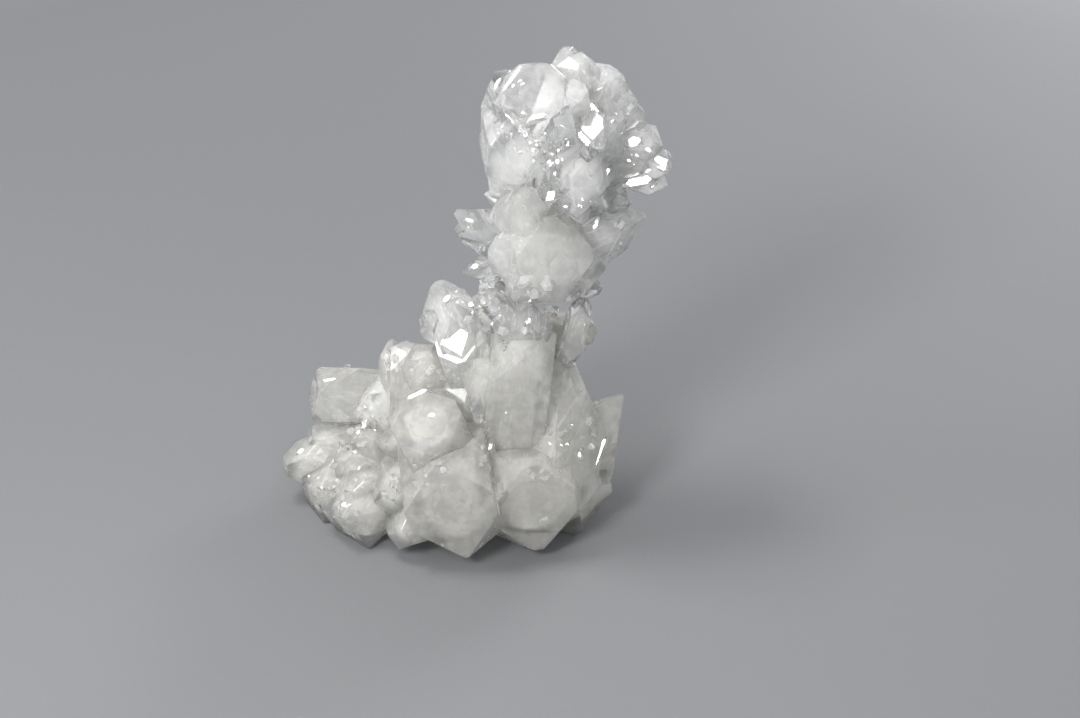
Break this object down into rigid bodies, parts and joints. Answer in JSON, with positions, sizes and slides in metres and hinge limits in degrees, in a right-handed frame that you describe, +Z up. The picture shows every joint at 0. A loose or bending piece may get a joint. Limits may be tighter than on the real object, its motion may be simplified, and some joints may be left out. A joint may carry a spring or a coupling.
{
  "type": "apophyllite cluster",
  "caption": "Free-standing cluster of clear to milky apophyllite crystals: a leaning stem of intergrown square prisms with pointed ends on a broad flat-cut foot.",
  "frame": {"origin": "bottom centre of the cluster's bounding box, on the flat cut under the foot", "axes": "+Z up along the standing height; +X to the right and -Y towards the viewer, so the stem leans to +X and the spread left end of the foot points to -X"},
  "size_m": [0.1019, 0.0742, 0.1319],
  "materials": {
    "apophyllite": "glassy faces, clear at the tips and milky white in the stem and foot"
  },
  "bodies": {
    "root": {"apophyllite_cluster": "apophyllite"}
  },
  "joints": []
}
